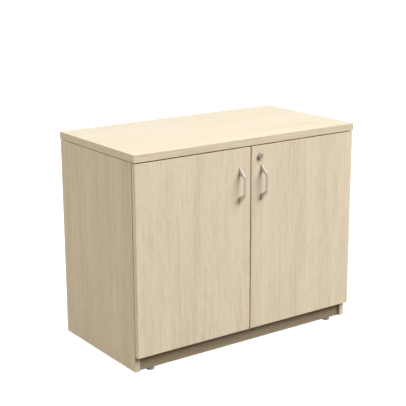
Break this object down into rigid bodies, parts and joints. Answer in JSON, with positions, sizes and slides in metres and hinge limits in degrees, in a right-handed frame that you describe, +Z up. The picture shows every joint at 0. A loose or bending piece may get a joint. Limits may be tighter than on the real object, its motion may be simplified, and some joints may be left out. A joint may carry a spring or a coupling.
{
  "type": "office storage cabinet",
  "caption": "Low two-door office storage cabinet in pale maple laminate with bow pulls, a cam lock, an adjustable shelf, concealed hinges and levelling feet.",
  "frame": {"origin": "floor level under the centre of the cabinet's overall box, pulls included", "axes": "+X to the right seen from the front, +Y to the back, +Z up; the doors face -Y"},
  "size_m": [0.9144, 0.511, 0.7366],
  "materials": {
    "maple_laminate": "satin maple-grain laminate on particleboard",
    "maple_edge_band": "matching maple-grain edge band",
    "satin_nickel": "satin nickel plate",
    "plated_steel": "bright zinc plate",
    "zinc_casting": "plated zinc casting",
    "beech": "raw turned beech",
    "soft_bumper": "soft translucent polyurethane",
    "dark_grey_plastic": "moulded, matt"
  },
  "bodies": {
    "carcass": {"top_panel": "maple_laminate", "top_edge_band": "maple_edge_band", "left_side_panel": "maple_laminate", "right_side_panel": "maple_laminate", "bottom_panel": "maple_laminate", "back_panel": "maple_laminate", "toe_kick": "maple_laminate", "front_rail": "maple_laminate", "carcass_edge_bands": "maple_edge_band", "shelf": "maple_laminate", "shelf_edge_band": "maple_edge_band", "shelf_pins": "plated_steel", "dowels": "beech", "cam_bolts": "plated_steel", "cam_discs": "zinc_casting", "top_screws": "plated_steel", "foot_inserts": "plated_steel", "hinge_arms": "plated_steel", "hinge_arm_pins": "plated_steel", "hinge_plates": "zinc_casting", "hinge_plate_screws": "plated_steel", "lock_strike": "plated_steel", "strike_screws": "plated_steel"},
    "left_inner_links": {"left_inner_links": "plated_steel"},
    "left_door": {"left_door_panel": "maple_laminate", "left_door_edge_band": "maple_edge_band", "left_hinge_cups": "zinc_casting", "left_hinge_cup_pins": "plated_steel", "left_hinge_cup_screws": "plated_steel", "left_pull": "satin_nickel", "left_pull_screws": "plated_steel", "left_door_bumpers": "soft_bumper", "bolt_bracket": "plated_steel", "bolt_screws": "plated_steel"},
    "left_outer_links": {"left_outer_links": "plated_steel"},
    "right_inner_links": {"right_inner_links": "plated_steel"},
    "right_door": {"right_door_panel": "maple_laminate", "right_door_edge_band": "maple_edge_band", "right_hinge_cups": "zinc_casting", "right_hinge_cup_pins": "plated_steel", "right_hinge_cup_screws": "plated_steel", "right_pull": "satin_nickel", "right_pull_screws": "plated_steel", "right_door_bumpers": "soft_bumper", "lock_barrel": "satin_nickel", "lock_nut": "zinc_casting"},
    "right_outer_links": {"right_outer_links": "plated_steel"},
    "bolt": {"bolt_rod": "plated_steel"},
    "lock_core": {"lock_plug": "satin_nickel", "lock_cam": "zinc_casting", "cam_screw": "plated_steel"},
    "front_left_foot": {"front_left_foot_pad": "dark_grey_plastic"},
    "front_left_stud": {"front_left_foot_stud": "plated_steel"},
    "front_right_foot": {"front_right_foot_pad": "dark_grey_plastic"},
    "front_right_stud": {"front_right_foot_stud": "plated_steel"},
    "rear_left_foot": {"rear_left_foot_pad": "dark_grey_plastic"},
    "rear_left_stud": {"rear_left_foot_stud": "plated_steel"},
    "rear_right_foot": {"rear_right_foot_pad": "dark_grey_plastic"},
    "rear_right_stud": {"rear_right_foot_stud": "plated_steel"}
  },
  "joints": [
    {"name": "left_inner_link_swing", "type": "hinge", "parent": "carcass", "child": "left_inner_links", "pos_m": [-0.4252, -0.20545, 0.38495], "axis": [0, 0, -1], "range_deg": [-12.5, 0]},
    {"name": "left_door_swing", "type": "hinge", "parent": "left_inner_links", "child": "left_door", "pos_m": [-0.4462, -0.21545, 0.38495], "axis": [0, 0, -1], "range_deg": [0, 107.35]},
    {"name": "left_outer_link_swing", "type": "hinge", "parent": "left_door", "child": "left_outer_links", "pos_m": [-0.44595, -0.21195, 0.38495], "axis": [0, 0, -1], "range_deg": [-113.7, 0]},
    {"name": "right_inner_link_swing", "type": "hinge", "parent": "carcass", "child": "right_inner_links", "pos_m": [0.4252, -0.20545, 0.38495], "axis": [0, 0, 1], "range_deg": [-12.5, 0]},
    {"name": "right_door_swing", "type": "hinge", "parent": "right_inner_links", "child": "right_door", "pos_m": [0.4462, -0.21545, 0.38495], "axis": [0, 0, 1], "range_deg": [0, 107.35]},
    {"name": "right_outer_link_swing", "type": "hinge", "parent": "right_door", "child": "right_outer_links", "pos_m": [0.44595, -0.21195, 0.38495], "axis": [0, 0, 1], "range_deg": [-113.7, 0]},
    {"name": "bolt_slide", "type": "slide", "parent": "left_door", "child": "bolt", "axis": [0, 0, 1], "range_m": [0, 0.012]},
    {"name": "lock_turn", "type": "hinge", "parent": "right_door", "child": "lock_core", "pos_m": [0.0365, -0.22545, 0.6725], "axis": [0, -1, 0], "range_deg": [0, 90]},
    {"name": "front_left_foot_slide", "type": "slide", "parent": "carcass", "child": "front_left_foot", "axis": [0, 0, -1], "range_m": [0, 0.012]},
    {"name": "front_left_stud_turn", "type": "hinge", "parent": "front_left_foot", "child": "front_left_stud", "pos_m": [-0.3862, -0.18745, 0.0065], "axis": [0, 0, -1], "range_deg": [0, 3458]},
    {"name": "front_right_foot_slide", "type": "slide", "parent": "carcass", "child": "front_right_foot", "axis": [0, 0, -1], "range_m": [0, 0.012]},
    {"name": "front_right_stud_turn", "type": "hinge", "parent": "front_right_foot", "child": "front_right_stud", "pos_m": [0.3862, -0.18745, 0.0065], "axis": [0, 0, -1], "range_deg": [0, 3458]},
    {"name": "rear_left_foot_slide", "type": "slide", "parent": "carcass", "child": "rear_left_foot", "axis": [0, 0, -1], "range_m": [0, 0.012]},
    {"name": "rear_left_stud_turn", "type": "hinge", "parent": "rear_left_foot", "child": "rear_left_stud", "pos_m": [-0.3862, 0.23665, 0.0065], "axis": [0, 0, -1], "range_deg": [0, 3458]},
    {"name": "rear_right_foot_slide", "type": "slide", "parent": "carcass", "child": "rear_right_foot", "axis": [0, 0, -1], "range_m": [0, 0.012]},
    {"name": "rear_right_stud_turn", "type": "hinge", "parent": "rear_right_foot", "child": "rear_right_stud", "pos_m": [0.3862, 0.23665, 0.0065], "axis": [0, 0, -1], "range_deg": [0, 3458]}
  ],
  "couplings": [
    {"joint": "left_inner_link_swing", "follows": "left_door_swing", "ratio": -0.11504},
    {"joint": "left_outer_link_swing", "follows": "left_door_swing", "ratio": -1.0575},
    {"joint": "right_inner_link_swing", "follows": "right_door_swing", "ratio": -0.11504},
    {"joint": "right_outer_link_swing", "follows": "right_door_swing", "ratio": -1.0575},
    {"joint": "front_left_stud_turn", "follows": "front_left_foot_slide", "rad_per_m": 5026.5},
    {"joint": "front_right_stud_turn", "follows": "front_right_foot_slide", "rad_per_m": 5026.5},
    {"joint": "rear_left_stud_turn", "follows": "rear_left_foot_slide", "rad_per_m": 5026.5},
    {"joint": "rear_right_stud_turn", "follows": "rear_right_foot_slide", "rad_per_m": 5026.5}
  ]
}
